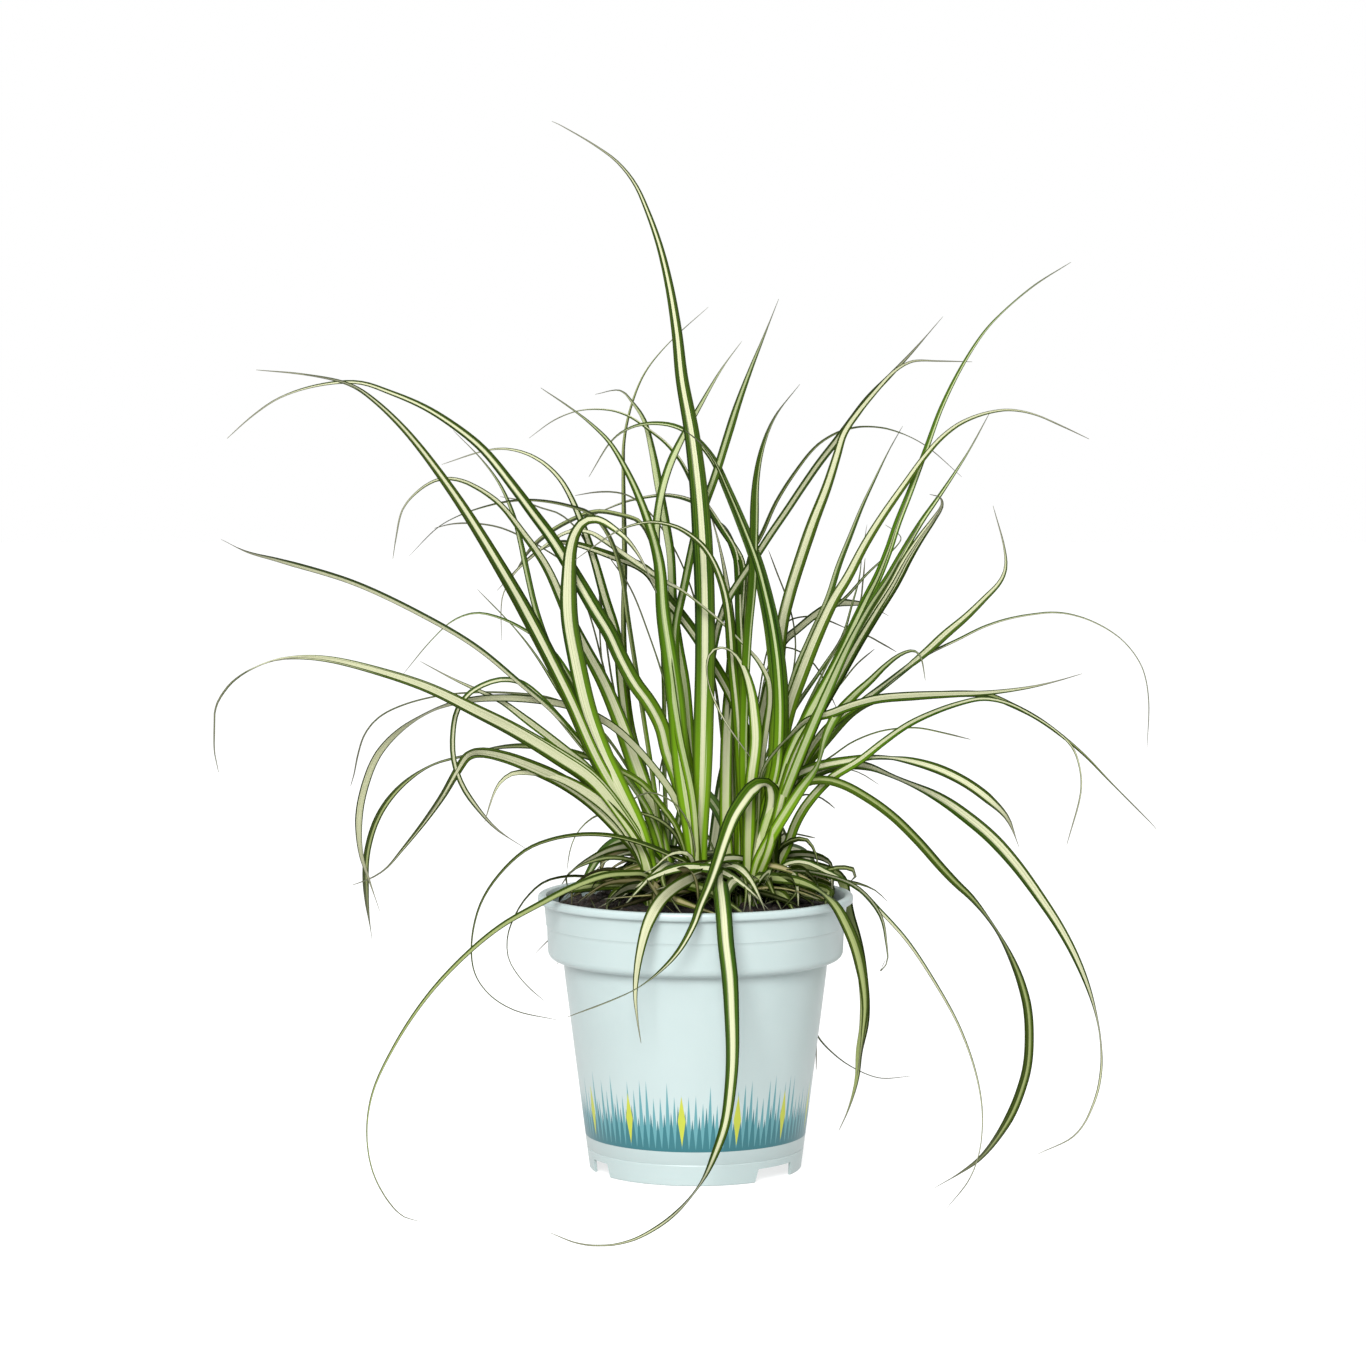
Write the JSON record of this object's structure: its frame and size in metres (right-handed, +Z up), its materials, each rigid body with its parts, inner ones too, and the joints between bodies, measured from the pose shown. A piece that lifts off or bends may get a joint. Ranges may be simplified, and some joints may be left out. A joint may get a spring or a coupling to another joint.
{
  "type": "potted variegated sedge",
  "caption": "Variegated carex sedge with arching striped strap leaves growing in tufts from soil in a round plastic nursery pot.",
  "frame": {"origin": "on the pot's axis, on the surface that the pot stands on", "axes": "+Z up, -Y towards the front, +X to the right seen from the front"},
  "size_m": [0.3906, 0.3201, 0.4283],
  "materials": {
    "pot": "satin",
    "soil": "matte",
    "leaf": "satin"
  },
  "bodies": {
    "root": {"pot": "pot", "soil": "soil", "tuft_left": "leaf", "tuft_left_rear": "leaf", "tuft_middle": "leaf", "tuft_rear": "leaf", "tuft_right": "leaf", "tuft_right_rear": "leaf"}
  },
  "joints": []
}
